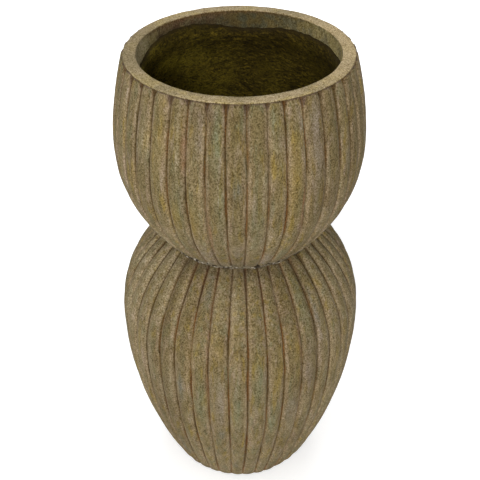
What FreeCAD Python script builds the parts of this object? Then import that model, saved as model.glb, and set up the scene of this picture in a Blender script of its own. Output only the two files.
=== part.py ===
"""A ribbed floor urn of cast stone: two bulbs joined at a waist, lined with fibre, with a plugged drain.

Millimetres, +Z up. The origin is on the floor, at the middle of the foot, and the front faces -Y.
"""

import FreeCAD, Part
import math
import os

# Outside of the lower urn, measured to the crests of its ribs
urn_height = 442.0  # floor to waist seam
urn_belly_height = 273.0  # floor to its widest ring
urn_foot_radius = 119.5
urn_belly_radius = 179.0
urn_neck_radius = 104.0

# Outside of the upper bowl, with its heights measured from the waist seam
bowl_height = 258.0  # waist seam to rim
bowl_belly_height = 139.0
bowl_foot_radius = 108.5
bowl_belly_radius = 164.5
bowl_rim_radius = 143.0

# How each stretch of the outline leaves its belly: 2 is a parabola, more is a flatter belly
urn_foot_power = 1.9
urn_neck_power = 2.6
bowl_foot_power = 2.15
bowl_rim_power = 1.72

# Ribs, the same number on both bulbs, with their grooves in line across the waist
rib_count = 41
groove_width = 3.8
groove_depth = 4.0
rib_crown = 1.2  # a rib's middle stands this far above its edges
front_groove_turn = 2.9  # degrees from the middle of the front round to the nearest groove

# Walls of the cast stone
wall = 9.0  # at the bellies
foot_wall = 14.0
mouth_radius = 125.0
throat_depth = 36.0  # the straight stretch below the rim, before the wall thins
lip_setback = 1.5  # the plain lip stands this far inside the outline of the ribs
lip_height = 3.0
lip_round = 2.5  # outer edge of the lip
mouth_round = 2.0  # inner edge of the lip
rib_end_height = 6.0  # the tops of the ribs lean in over this height to meet the lip

# Waist joint: a spigot under the bowl stands in a rebate of the urn, bedded in mortar
neck_radius = 88.0
neck_land = 10.0  # straight stretch of the neck, above and below the seam
spigot_wall = 6.0
spigot_depth = 8.0
bed_thickness = 3.0
bed_setback = 1.5  # the mortar starts this far under the bowl's edge
bed_bulge = 0.8  # and its face swells this far

# Fibre lining, and the strap bonded over the joint inside
lining_thickness = 4.0
bare_band = 27.0  # stone left bare under the rim
strap_thickness = 3.0
strap_reach = 34.0  # above and below the seam

# Base slab on its ledge, and the drain through it
ledge_height = 8.0
foot_opening_radius = 85.0
slab_thickness = 14.0
drain_radius = 11.0

# Rubber plug, pulled up from inside
plug_clearance = 0.3  # beside the hole's wall
plug_taper = 1.2  # how much thinner its tip is
plug_tip = 2.0  # it reaches this far below the slab
plug_flange_radius = 18.0
plug_flange_thickness = 3.5
plug_stem_radius = 4.5
plug_stem_height = 7.0
plug_knob_radius = 8.5
plug_knob_height = 6.0

overrun = 5.0  # cutting solids pass this far beyond what they cut
curve_steps = 8  # spans in each curved stretch of an outline
urn_ring_steps = 12  # spans between the rings of ribs
bowl_ring_steps = 8

rim_height = urn_height + bowl_height
bowl_belly_level = urn_height + bowl_belly_height
urn_top = urn_height - bed_thickness / 2
bowl_bottom = urn_height + bed_thickness / 2
lip_radius = bowl_rim_radius - lip_setback
lip_bottom = rim_height - lip_height
spigot_radius = neck_radius + spigot_wall
spigot_bottom = urn_height - spigot_depth
slab_top = ledge_height + slab_thickness
lining_top = rim_height - bare_band
up = FreeCAD.Vector(0, 0, 1)


def swell(z, belly_level, belly, end_level, end, power):
    """Radius at height z on the stretch from a belly to one of its ends."""
    reach = abs(z - belly_level) / abs(end_level - belly_level)
    return belly - (belly - end) * reach**power


def urn_radius(z):
    """Crest radius of the lower urn."""
    if z < urn_belly_height:
        return swell(z, urn_belly_height, urn_belly_radius, 0, urn_foot_radius, urn_foot_power)
    return swell(z, urn_belly_height, urn_belly_radius, urn_height, urn_neck_radius, urn_neck_power)


def bowl_radius(z):
    """Crest radius of the upper bowl."""
    if z < bowl_belly_level:
        return swell(z, bowl_belly_level, bowl_belly_radius, urn_height, bowl_foot_radius, bowl_foot_power)
    return swell(z, bowl_belly_level, bowl_belly_radius, rim_height, bowl_rim_radius, bowl_rim_power)


def spread(start, stop, steps):
    """Evenly spaced heights from start to stop, both included."""
    return [start + (stop - start) * k / steps for k in range(steps + 1)]


def on_ring(radius, angle, z):
    return FreeCAD.Vector(radius * math.cos(angle), radius * math.sin(angle), z)


def rib_ring(z, crest):
    """The outline at one height: a low arc over each rib and a V groove between ribs."""
    pitch = 2 * math.pi / rib_count
    first = math.radians(front_groove_turn) - math.pi / 2
    half_groove = groove_width / 2 / crest
    edge = crest - rib_crown
    edges = []
    for k in range(rib_count):
        groove = first + k * pitch
        start = on_ring(edge, groove + half_groove, z)
        middle = on_ring(crest, groove + pitch / 2, z)
        end = on_ring(edge, groove + pitch - half_groove, z)
        bottom = on_ring(crest - groove_depth, groove + pitch, z)
        following = on_ring(edge, groove + pitch + half_groove, z)
        edges.append(Part.Arc(start, middle, end).toShape())
        edges.append(Part.LineSegment(end, bottom).toShape())
        edges.append(Part.LineSegment(bottom, following).toShape())
    return Part.Wire(edges)


def ribbed_solid(low, high, radius_at, steps):
    """The solid bulb between two heights, with its ribs."""
    rings = [rib_ring(z, radius_at(z)) for z in spread(low, high, steps)]
    return Part.makeLoft(rings, True)


def in_section(radius, z):
    return FreeCAD.Vector(radius, 0, z)


def line(start, end):
    return Part.LineSegment(in_section(*start), in_section(*end)).toShape()


def arc(start, middle, end):
    return Part.Arc(in_section(*start), in_section(*middle), in_section(*end)).toShape()


def turned(edges):
    """The solid that a closed section makes when it turns about the axis."""
    face = Part.Face(Part.Wire(edges))
    return face.revolve(FreeCAD.Vector(0, 0, 0), up, 360)


def turned_outline(points):
    """The same, from the corners of a section with straight sides."""
    return turned([line(a, b) for a, b in zip(points, points[1:] + points[:1])])


def disc(radius, low, high):
    return Part.makeCylinder(radius, high - low, FreeCAD.Vector(0, 0, low))


def ring(inner, outer, low, high):
    return disc(outer, low, high).cut(disc(inner, low, high))


def swell_curve(low, high, belly, end, power):
    """A smooth edge between two heights of a swell. belly and end are each a height and a radius."""
    heights = spread(low, high, curve_steps)
    curve = Part.BSplineCurve()
    curve.interpolate([in_section(swell(z, *belly, *end, power), z) for z in heights])
    return curve.toShape()


def hollow(inset, bottom):
    """The space inside both bulbs from bottom to above the rim, inset from the stone all round."""
    foot = (0, urn_foot_radius - foot_wall - inset)
    urn_belly = (urn_belly_height, urn_belly_radius - wall - inset)
    neck_low = (urn_height - neck_land, neck_radius - inset)
    neck_high = (urn_height + neck_land, neck_radius - inset)
    bowl_belly = (bowl_belly_level, bowl_belly_radius - wall - inset)
    throat = (rim_height - throat_depth, mouth_radius - inset)
    top = rim_height + overrun
    corner = swell(bottom, *urn_belly, *foot, urn_foot_power)
    return turned(
        [
            line((0, bottom), (corner, bottom)),
            swell_curve(bottom, urn_belly[0], urn_belly, foot, urn_foot_power),
            swell_curve(urn_belly[0], neck_low[0], urn_belly, neck_low, urn_neck_power),
            line(neck_low[::-1], neck_high[::-1]),
            swell_curve(neck_high[0], bowl_belly[0], bowl_belly, neck_high, bowl_foot_power),
            swell_curve(bowl_belly[0], throat[0], bowl_belly, throat, bowl_rim_power),
            line(throat[::-1], (throat[1], top)),
            line((throat[1], top), (0, top)),
            line((0, top), (0, bottom)),
        ]
    )


def slice_of(solid, low, high):
    """The part of a solid between two heights."""
    return solid.common(disc(urn_belly_radius + bowl_belly_radius, low, high))


def lower_urn_shell(inside):
    """Ribbed cast wall from the floor to the waist, with a ledge for the slab and a rebate on top."""
    solid = ribbed_solid(0, urn_top, urn_radius, urn_ring_steps)
    foot_opening = disc(foot_opening_radius, -overrun, ledge_height + overrun)
    rebate = disc(spigot_radius, spigot_bottom, urn_top + overrun)
    return solid.cut([inside, foot_opening, rebate])


def lip():
    """The plain lip above the ribs, rounded on both edges."""
    slant = math.sqrt(2) / 2
    outer = lip_radius - lip_round
    inner = mouth_radius + mouth_round
    outer_low = rim_height - lip_round
    inner_low = rim_height - mouth_round
    outer_middle = (outer + lip_round * slant, outer_low + lip_round * slant)
    inner_middle = (inner - mouth_round * slant, inner_low + mouth_round * slant)
    return turned(
        [
            line((mouth_radius, lip_bottom), (mouth_radius, inner_low)),
            arc((mouth_radius, inner_low), inner_middle, (inner, rim_height)),
            line((inner, rim_height), (outer, rim_height)),
            arc((outer, rim_height), outer_middle, (lip_radius, outer_low)),
            line((lip_radius, outer_low), (lip_radius, lip_bottom)),
            line((lip_radius, lip_bottom), (mouth_radius, lip_bottom)),
        ]
    )


def rib_ends():
    """What is cut from the tops of the ribs, so that they lean in to the lip."""
    crest = bowl_radius(lip_bottom - rib_end_height)
    outer = crest + overrun
    slope = rib_end_height / (crest - lip_radius)
    return turned_outline(
        [
            (lip_radius, lip_bottom),
            (outer, lip_bottom - slope * (outer - lip_radius)),
            (outer, lip_bottom + overrun),
            (lip_radius, lip_bottom + overrun),
        ]
    )


def upper_bowl_shell(inside):
    """Ribbed cast wall from the waist to the lip, with the spigot that stands in the urn."""
    solid = ribbed_solid(bowl_bottom, lip_bottom, bowl_radius, bowl_ring_steps)
    solid = solid.cut([inside, rib_ends()])
    spigot = ring(neck_radius, spigot_radius, spigot_bottom, bowl_bottom)
    return solid.fuse([lip(), spigot]).removeSplitter()


def lining(inside, lined, low, high):
    """A layer of resin-bound fibre on the stone between two heights."""
    return slice_of(inside, low, high).cut(lined)


def waist_lap_strap(lined, strapped):
    """A band of the same fibre over the linings, across the joint."""
    low = urn_height - strap_reach
    high = urn_height + strap_reach
    return slice_of(lined, low, high).cut(strapped)


def waist_mortar_bed():
    """The mortar that the bowl is bedded in, bulging a little where it shows."""
    outer_low = urn_neck_radius
    outer_high = bowl_foot_radius - bed_setback
    middle = (outer_low + outer_high) / 2 + bed_bulge
    return turned(
        [
            line((spigot_radius, urn_top), (outer_low, urn_top)),
            arc((outer_low, urn_top), (middle, urn_height), (outer_high, bowl_bottom)),
            line((outer_high, bowl_bottom), (spigot_radius, bowl_bottom)),
            line((spigot_radius, bowl_bottom), (spigot_radius, urn_top)),
        ]
    )


def base_slab(inside):
    """The cast floor, wedged in the foot above its ledge, with the drain through it."""
    solid = slice_of(inside, ledge_height, slab_top)
    return solid.cut(disc(drain_radius, ledge_height - overrun, slab_top + overrun))


def drain_plug():
    """A tapered stopper whose flange lies on the slab, with a knob to pull it by."""
    body = drain_radius - plug_clearance
    tip = ledge_height - plug_tip
    flange_top = slab_top + plug_flange_thickness
    stem_top = flange_top + plug_stem_height
    knob_top = stem_top + plug_knob_height
    return turned_outline(
        [
            (0, tip),
            (body - plug_taper, tip),
            (body, slab_top),
            (plug_flange_radius, slab_top),
            (plug_flange_radius, flange_top),
            (plug_stem_radius, flange_top),
            (plug_stem_radius, stem_top),
            (plug_knob_radius, stem_top + plug_knob_height / 2),
            (plug_stem_radius, knob_top),
            (0, knob_top),
        ]
    )


def main():
    inside = hollow(0, ledge_height)
    lined = hollow(lining_thickness, slab_top)
    strapped = hollow(lining_thickness + strap_thickness, slab_top)
    nodes = {
        "lower_urn_shell": lower_urn_shell(inside),
        "upper_bowl_shell": upper_bowl_shell(inside),
        "urn_fibre_lining": lining(inside, lined, slab_top, spigot_bottom),
        "bowl_fibre_lining": lining(inside, lined, spigot_bottom, lining_top),
        "waist_lap_strap": waist_lap_strap(lined, strapped),
        "waist_mortar_bed": waist_mortar_bed(),
        "base_slab": base_slab(inside),
        "drain_plug": drain_plug(),
    }
    os.makedirs("parts", exist_ok=True)
    for name, shape in nodes.items():
        shape.exportStep(f"parts/{name}.step")


main()
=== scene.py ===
"""The looks of the ribbed urn vase: two cast shells, their linings, the mortar, the slab and the plug."""

import itertools
import math

import bpy
import numpy as np
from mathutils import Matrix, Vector


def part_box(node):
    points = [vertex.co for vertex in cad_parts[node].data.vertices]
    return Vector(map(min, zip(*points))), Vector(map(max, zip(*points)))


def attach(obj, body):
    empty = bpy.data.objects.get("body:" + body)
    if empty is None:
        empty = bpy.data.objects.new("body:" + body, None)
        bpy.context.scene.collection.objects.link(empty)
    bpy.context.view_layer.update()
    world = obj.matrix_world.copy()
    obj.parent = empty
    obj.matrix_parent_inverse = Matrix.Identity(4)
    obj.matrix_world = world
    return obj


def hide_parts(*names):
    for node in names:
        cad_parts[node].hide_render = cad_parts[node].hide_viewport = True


MM = 0.001

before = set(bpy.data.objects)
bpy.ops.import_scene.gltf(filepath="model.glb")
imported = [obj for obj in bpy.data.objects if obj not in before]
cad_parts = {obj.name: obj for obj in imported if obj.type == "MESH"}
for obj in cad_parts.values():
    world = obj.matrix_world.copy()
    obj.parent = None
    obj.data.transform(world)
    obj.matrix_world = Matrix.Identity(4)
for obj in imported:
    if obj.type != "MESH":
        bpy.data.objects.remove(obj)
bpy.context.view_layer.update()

# Outline of the two bulbs: heights and radii to the crests of the ribs
SKIN = 0.1 * MM  # the bellies stay this far inside the solids
URN_BELLY = (273 * MM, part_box("lower_urn_shell")[1].y - SKIN)
URN_FOOT = (0.0, 119.5 * MM)
URN_NECK = (442 * MM, 104 * MM)
BOWL_FOOT = (442 * MM, 108.5 * MM)
BOWL_BELLY = (581 * MM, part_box("upper_bowl_shell")[1].y - SKIN)
RIM = (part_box("upper_bowl_shell")[1].z, 143 * MM)
URN_FOOT_POWER, URN_NECK_POWER, BOWL_FOOT_POWER, BOWL_RIM_POWER = 1.9, 2.6, 2.15, 1.72

# Places that the shells share with what is built against them
URN_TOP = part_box("waist_mortar_bed")[0].z
BOWL_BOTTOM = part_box("waist_mortar_bed")[1].z
NECK_RADIUS = 88 * MM
NECK_LAND = 10 * MM
SPIGOT_RADIUS = 94 * MM
SPIGOT_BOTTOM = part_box("upper_bowl_shell")[0].z
MOUTH_RADIUS = 125 * MM
THROAT_DEPTH = 36 * MM
LINING_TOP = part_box("bowl_fibre_lining")[1].z
LINING_THICKNESS = 4 * MM
LINING_STEP, LINING_LUMP = 3.6 * MM, 1.1 * MM
STRAP_THICKNESS = 3 * MM
LEDGE_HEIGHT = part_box("base_slab")[0].z
SLAB_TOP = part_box("base_slab")[1].z
FOOT_OPENING_RADIUS = 85 * MM
WALL = 9 * MM
FOOT_WALL = 14 * MM
HIDDEN_STEP = 20 * MM  # between rows that only the linings cover

# The lip
LIP_RADIUS = 141.5 * MM
LIP_HEIGHT = 1.7 * MM
LIP_BOTTOM = RIM[0] - LIP_HEIGHT
LIP_ROUND = 1.6 * MM
MOUTH_ROUND = 1.4 * MM
LIP_WAVE = 0.8 * MM  # how far its outer edge wanders
LIP_DIP = 0.35 * MM

# Ribs and grooves
RIBS = 41
PITCH = 2 * math.pi / RIBS
FIRST_GROOVE = math.radians(2.9) - math.pi / 2  # a little to the right of the front
GROOVE_DEPTH = 2.8 * MM
GROOVE_OFFSETS = np.array([0, 0.7, 1.4, 2.3, 4.0]) * MM  # from a groove's middle to the flat of the rib
GROOVE_SHAPE_SHARES = np.array([1, 0.72, 0.34, 0.1, 0.0])
WIDEST_GROOVE = 2.3  # times its usual width
FLAT_COLUMNS = 4  # columns between the last offsets of two grooves
SLOW_WANDER, QUICK_WANDER = math.radians(0.3), math.radians(0.12)
URN_DRIFT = math.radians(2.2)  # how far the urn's grooves have turned where they reach its foot
CROWN_POWER = 2.1
BOWL_CROWN = 2.4 * MM  # a rib's middle stands this far above its edges
URN_CROWN = 5.6 * MM
TOP_CROWN = 2.2 * MM  # what the rounding under the lip adds to the crown
BUMP_DEPTH = 0.6 * MM
PAINTED_SIDE_SHADE_TURNS = [26, 44]  # degrees from the front between which the grooves' painted shade grows wide and dark

# How the bowl's ribs end: tops that lean in to the lip, grooves that open into notches, a tuck at the waist
BOWL_STEP = 2.9 * MM
ROWS_BELOW_LIP = np.array([10.2, 8.6, 7.2, 6, 5, 4, 3, 2.2, 1.4, 0.7, 0.2]) * MM
LEAN_HEIGHT, LEAN_GAP = 3.5 * MM, 1.4 * MM
OPENING_HEIGHT = 8 * MM
# Sizes of the dark notches, part stain and part painted shade
NOTCH_HEIGHTS = np.array([8, 16]) * MM
NOTCH_WIDTHS = np.array([3, 6]) * MM
NOTCH_SOFTNESS = 1.2 * MM
BOWL_GROOVE_SHARE = 1.15
BOWL_TUCK, BOWL_TUCK_HEIGHT = 0.8 * MM, 2 * MM
CRUMBLE = 0.9 * MM  # how far the bowl's lower edge is broken up
BOWL_SEED, URN_SEED = 11, 23
SEAM_HEIGHT = 26 * MM

# How the urn's ribs end: worn away at the foot, which is chipped at one place, and tucked in at the waist
URN_STEP = 3.4 * MM
ROWS_ABOVE_FLOOR = np.array([0, 0.5, 1.2, 2.2, 3.5, 5]) * MM
WEAR, WEAR_HEIGHT = 4.2 * MM, 7 * MM
URN_TUCK, URN_TUCK_HEIGHT = 1.2 * MM, 2.5 * MM
GROOVE_SHARE_HEIGHTS = np.array([0, 12, 45, 115]) * MM
URN_GROOVE_SHARES = [0.12, 0.28, 0.64, 0.9]
CHIP = 3 * MM
BREAK, BREAK_HEIGHT, BREAK_TURN, BREAK_HALF_TURN = 3.5 * MM, 12 * MM, 40, 13
WAIST_OPENING = 40 * MM  # over this height the grooves widen towards the waist
# Painted shadow under the bowl's overhang: the urn's shoulder made darker just below the waist
UNDER_BOWL_SHADOW_HEIGHT, DEEP_STAIN_HEIGHT = 16 * MM, 75 * MM  # below the waist
# Painted shade along the foot's lowest edge, then the grooves' rubbed stain
FOOT_SHADE_HEIGHT, RUBBED_HEIGHT = 9 * MM, 120 * MM  # above the floor
UNDER_BOWL_SHADOW_TURNS, UNDER_BOWL_SHADOW_SHARES = [31.5, 61.25], [1, 0.15]  # the painted shadow is weaker at the sides

# How far the grooves in view stand from even places, in degrees, from the ninth on the left to the right
BOWL_SHIFTS = [-1, -2, -1, -1, -0.5, 0.5, 0.5, 0.5, 0, 0, 0.5, -0.5, -0.5, 1, 1, 0.5, 0, 1, 1]
URN_SHIFTS = [-2, -2, -1, -0.5, 0, 0, 0, -0.5, 0.5, 0.5, 1, 0, 0.5, 0.5, 0, 1, 1, 1, 1]

# Degrees round from the right-hand side towards the back, and there how far the lining's torn top edge
# stands over its even place, and how much painted light lightens the lining
TORN_TURNS = [0, 20, 45, 65, 90, 105, 125, 145, 157, 170, 200, 340, 360]
TORN_RAISES = np.array([6, 5, 8, 5.5, 1.5, 9, 13.5, 12, 6, -1, 1.5, 1.5, 6]) * MM
PAINTED_LIGHT_TURNS = [0, 30, 50, 80, 90, 105, 125, 140, 160, 180, 200, 330, 360]
PAINTED_LIGHT_SHARES = [0.18, 0.09, 0.04, 0.0, 0.03, 0.1, 0.17, 0.28, 0.55, 0.95, 1.0, 0.3, 0.18]
PAINTED_LIGHT_DEPTH = 150 * MM  # how far below its top the lining counts as deep
TEAR_HEIGHT = 16 * MM
LOWEST_TEAR, HIGHEST_TEAR = -4 * MM, 15 * MM

# Where round the mouth its stains and the band's painted light lie, in the same degrees, and their shares
# there
MOUTH_STAINS = {
    "mouth_edge": ([0, 40, 65, 85, 130, 165, 200, 270, 360], [0, 0.15, 0.8, 1, 0.9, 0.5, 0.2, 0, 0]),
    "lip_rim": ([-10, 25, 155, 200, 350], [0, 1, 1, 0, 0]),
    "lip_pale": ([0, 30, 60, 300, 345, 360], [1, 1, 0, 0, 0.8, 1]),
    "lip_dull": ([130, 160, 195, 225], [0, 1, 1, 0]),
    "stained": ([92, 112, 146, 160], [0, 1, 1, 0]),
    "band_pale": ([155, 168, 190, 215], [0, 1, 1, 0]),
}

# Stains in view, by kind, with painted light among the pale ones and painted shade among the brown: degrees
# round from the front, height in millimetres, half width in degrees, half height in millimetres, and
# strength
PATCHES = {
    "green": [
        # on the bowl
        (-30, 500, 2, 25, 0.4), (-26, 575, 2, 45, 0.4), (-9.5, 655, 1.6, 42, 0.8),
        (-8, 575, 2, 40, 0.35), (7, 545, 2.5, 40, 0.4), (15, 670, 2, 25, 0.35), (23, 480, 2, 18, 0.4),
        # on the urn
        (-18.5, 250, 1.8, 50, 0.6), (-1.5, 240, 2, 42, 0.6), (8, 285, 2.2, 50, 0.5),
        (15, 200, 2, 32, 0.45), (33.5, 390, 2.5, 35, 0.4),
    ],
    "lilac": [
        # on the bowl
        (-18, 478, 5, 22, 0.6), (-17.5, 668, 2, 28, 0.7), (-12, 690, 2, 12, 0.6),
        (-1.5, 500, 1.5, 13, 0.7), (15.5, 470, 3, 18, 0.7), (26.5, 675, 1, 18, 0.6),
        (34, 645, 2.2, 50, 0.7),
        # on the urn
        (-9.5, 245, 2, 55, 0.7), (25, 215, 3, 35, 0.5), (33, 290, 2, 45, 0.6), (40, 350, 1.2, 35, 0.8),
    ],
    "ochre": [
        # on the bowl
        (-36, 645, 3, 45, 0.3), (-29, 545, 2, 30, 0.5), (-20, 550, 2, 25, 0.6), (20, 500, 1, 30, 0.5),
        (21, 590, 1.2, 40, 0.4), (24, 615, 1.8, 45, 0.7),
        # on the urn
        (-23, 300, 1.5, 60, 0.45), (-10, 350, 2, 18, 0.4), (-6.5, 200, 1, 40, 0.5),
        (18, 320, 1.2, 32, 0.5), (26.5, 325, 1.6, 45, 0.65),
    ],
    "brown": [
        # on the bowl
        (-27, 682, 3.5, 12, 0.3), (-22.8, 655, 1.3, 38, 0.6), (-22.5, 620, 4.5, 70, 0.22),
        (-19, 682, 3.4, 20, 0.55), (-12.5, 680, 1.8, 24, 0.75), (-12, 612, 2.2, 30, 0.35),
        (-11, 545, 3, 38, 0.22), (-3.2, 600, 2.2, 22, 0.35), (38, 600, 1.6, 75, 0.6),
        (39.3, 610, 1, 25, 0.4), (39.5, 680, 1.3, 25, 0.5), (42, 540, 3, 50, 0.4),
        (48.3, 680, 1.3, 25, 0.5), (56, 600, 4, 70, 0.3), (57, 600, 5, 90, 0.25),
        (62.5, 620, 2, 90, 0.4), (71, 640, 3, 60, 0.35),
        # on the urn; those at its left are painted shade on the ribs' sides
        (-47, 235, 2.4, 70, 0.35), (-47, 300, 3, 45, 0.45), (-45.5, 200, 3.5, 50, 0.55),
        (-44, 120, 1.6, 50, 0.6), (-44, 175, 2, 30, 0.5), (-39.5, 240, 1.4, 70, 0.4),
        (-39, 290, 1.8, 70, 0.5), (-38, 385, 2.2, 60, 0.6), (-37.5, 190, 2.5, 50, 0.4),
        (-36, 240, 4, 70, 0.5), (-33.5, 95, 1.3, 42, 0.55), (-29.5, 195, 1.6, 40, 0.6),
        (-27, 360, 2, 70, 0.4), (-22.8, 390, 1.3, 32, 0.5), (-20, 290, 2.5, 32, 0.25),
        (23, 405, 2.5, 28, 0.5), (25.5, 370, 2, 20, 0.3), (33.6, 290, 2, 35, 0.3),
        (38, 300, 1.2, 100, 0.5), (45.5, 325, 1.2, 25, 0.5),
    ],
    "pale": [
        # on the bowl
        (-57, 500, 8, 35, 0.25), (-45, 480, 4, 22, 0.5), (-45, 640, 4, 30, 0.35),
        (-36, 615, 1.8, 40, 0.15), (-26.8, 650, 0.7, 50, 0.5), (-8, 520, 9, 22, 0.25),
        (9.7, 595, 1, 26, 0.5), (12, 515, 9, 22, 0.3), (42, 520, 8, 22, 0.35),
        # on the urn; those high on its shoulders are painted light against the shade under the bowl
        (-76, 402, 12, 26, 0.45), (-68, 345, 7, 40, 0.4), (-65, 400, 10, 26, 0.45),
        (-57, 335, 5, 60, 0.2), (-56, 275, 1.4, 60, 0.5), (-56, 424, 13, 16, 0.5),
        (-52, 405, 7, 28, 0.25), (-47, 290, 1.2, 60, 0.5), (-43.5, 390, 2.2, 32, 0.5),
        (-34, 260, 1, 50, 0.4), (-34, 390, 1.2, 60, 0.35), (-30, 100, 0.8, 45, 0.5),
        (-11, 400, 2.5, 30, 0.4), (-10.3, 282, 1.6, 30, 0.3), (-3, 395, 2.5, 22, 0.45),
        (0, 55, 30, 45, 0.2), (20, 70, 1, 35, 0.45), (26, 178, 2.5, 28, 0.3), (27.5, 175, 1.2, 35, 0.6),
        (33.6, 205, 3.5, 30, 0.3), (42.5, 375, 1.6, 25, 0.3), (45, 300, 3, 60, 0.3),
        (51, 180, 4, 40, 0.45), (52, 395, 2.5, 40, 0.4), (54, 275, 1.2, 60, 0.4), (60, 220, 8, 60, 0.25),
        (60, 424, 12, 16, 0.4), (64, 330, 9, 60, 0.3), (64, 400, 8, 28, 0.4), (74, 404, 10, 24, 0.35),
    ],
    "slate": [
        # on the bowl
        (-1, 602, 1.3, 13, 0.6),
        # on the urn
        (-38, 85, 2, 25, 0.6), (-28.3, 270, 1.3, 28, 0.8), (-18.5, 412, 1.5, 14, 0.6),
        (-9.5, 170, 1.2, 16, 0.6), (-3.5, 58, 1.5, 16, 0.6), (40.5, 375, 1, 20, 0.6),
    ],
    "rust": [
        # on the bowl
        (-23.5, 640, 1, 30, 0.5), (-13.3, 530, 0.8, 35, 0.6), (3.6, 640, 0.6, 30, 0.4),
        (27.5, 565, 0.9, 30, 0.8),
        # on the urn
        (-15.3, 320, 0.6, 90, 0.5), (28.9, 330, 0.6, 60, 0.5),
    ],
}


def field(points, size, seed):
    """Smooth noise from -1 to 1 with cells of the given size, the same on every run."""
    table = np.random.default_rng(seed).random(4096)
    scaled = points / np.asarray(size)
    cell = np.floor(scaled).astype(np.int64)
    part = scaled - cell
    part = part * part * (3 - 2 * part)
    total = np.zeros(points.shape[:-1])
    for corner in itertools.product((0, 1), repeat=3):
        at = cell + np.array(corner)
        # Large primes scatter the cells over the table
        key = (at[..., 0] * 73856093) ^ (at[..., 1] * 19349663) ^ (at[..., 2] * 83492791)
        weight = np.prod(np.where(corner, part, 1 - part), axis=-1)
        total += weight * table[key & 4095]
    return 2 * total - 1


def rough(points, size, seed):
    """Noise with two finer noises on it, still about -1 to 1."""
    total = np.zeros(points.shape[:-1])
    for k in range(3):
        total += field(points, np.asarray(size) / 2**k, seed + k) * 0.5**k
    return total / 1.5


def fade(distance, reach):
    """1 at no distance, falling evenly to 0 at the given reach."""
    return np.clip(1 - distance / reach, 0, 1)


def swell(z, belly, end, power):
    """Radius on the stretch of an outline from its belly to one of its ends, each a height and a radius."""
    reach = np.clip(np.abs(z - belly[0]) / abs(end[0] - belly[0]), 0, None)
    return belly[1] - (belly[1] - end[1]) * reach**power


def urn_crest(z):
    low = swell(z, URN_BELLY, URN_FOOT, URN_FOOT_POWER)
    return np.where(z < URN_BELLY[0], low, swell(z, URN_BELLY, URN_NECK, URN_NECK_POWER))


def bowl_crest(z):
    low = swell(z, BOWL_BELLY, BOWL_FOOT, BOWL_FOOT_POWER)
    return np.where(z < BOWL_BELLY[0], low, swell(z, BOWL_BELLY, RIM, BOWL_RIM_POWER))


def inner_radius(z, inset=0.0):
    """Radius of the space inside the stone, less an inset."""
    foot = (0.0, URN_FOOT[1] - FOOT_WALL - inset)
    urn_belly = (URN_BELLY[0], URN_BELLY[1] - WALL - inset)
    neck_low = (URN_NECK[0] - NECK_LAND, NECK_RADIUS - inset)
    neck_high = (URN_NECK[0] + NECK_LAND, NECK_RADIUS - inset)
    bowl_belly = (BOWL_BELLY[0], BOWL_BELLY[1] - WALL - inset)
    throat = (RIM[0] - THROAT_DEPTH, MOUTH_RADIUS - inset)
    stretches = [
        (z < urn_belly[0], swell(z, urn_belly, foot, URN_FOOT_POWER)),
        (z < neck_low[0], swell(z, urn_belly, neck_low, URN_NECK_POWER)),
        (z < neck_high[0], np.full_like(z, neck_low[1])),
        (z < bowl_belly[0], swell(z, bowl_belly, neck_high, BOWL_FOOT_POWER)),
        (z < throat[0], swell(z, bowl_belly, throat, BOWL_RIM_POWER)),
    ]
    return np.select([where for where, _ in stretches], [r for _, r in stretches], throat[1])


def spread_along(low, high, radius_at, step):
    """Heights between two levels, evenly spaced along the outline."""
    fine = np.linspace(low, high, 2000)
    radii = radius_at(fine)
    run = np.concatenate([[0], np.cumsum(np.hypot(np.diff(fine), np.diff(radii)))])
    count = max(2, int(round(run[-1] / step)) + 1)
    return np.interp(np.linspace(0, run[-1], count), run, fine)


def on_axis(radius, angle, z):
    """Points from radii, angles and heights, in arrays of one shape."""
    return np.stack([radius * np.cos(angle), radius * np.sin(angle), z], axis=-1)


def turn_from_front(points):
    """Degrees round the axis from the front, positive to the right."""
    return np.degrees(np.arctan2(points[..., 0], -points[..., 1]))


def turn_from_right(points):
    """Degrees round the axis from the right-hand side towards the back, 0 to 360."""
    return np.degrees(np.arctan2(points[..., 1], points[..., 0])) % 360


def round_mouth(stain, points):
    """The share of a stain of the mouth at each point."""
    return np.interp(turn_from_right(points), *MOUTH_STAINS[stain])


def by_row(values, points):
    """One value for each row of a grid of points, the same in all columns."""
    return np.broadcast_to(values[:, None], points.shape[:2])


def mesh_piece(name, body, slot, grid, masks=None):
    """An object from a grid of points, rows by columns. Its columns go round, and so do its rows."""
    rows, columns = grid.shape[:2]
    lower = np.arange(rows * columns).reshape(rows, columns)
    upper = np.roll(lower, -1, axis=0)
    quads = np.stack([lower, np.roll(lower, -1, axis=1), np.roll(upper, -1, axis=1), upper], axis=-1)
    mesh = bpy.data.meshes.new(name)
    mesh.vertices.add(rows * columns)
    mesh.vertices.foreach_set("co", grid.reshape(-1))
    flat = quads.reshape(-1)
    mesh.loops.add(len(flat))
    mesh.loops.foreach_set("vertex_index", flat)
    mesh.polygons.add(len(flat) // 4)
    mesh.polygons.foreach_set("loop_start", np.arange(0, len(flat), 4))
    mesh.update(calc_edges=True)
    mesh.polygons.foreach_set("use_smooth", np.ones(len(flat) // 4, dtype=bool))
    for mask, values in (masks or {}).items():
        attribute = mesh.attributes.new(mask, "FLOAT", "POINT")
        attribute.data.foreach_set("value", values.reshape(-1).astype(np.float32))
    piece = bpy.data.objects.new(name, mesh)
    bpy.context.scene.collection.objects.link(piece)
    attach(piece, body)
    return piece


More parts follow.
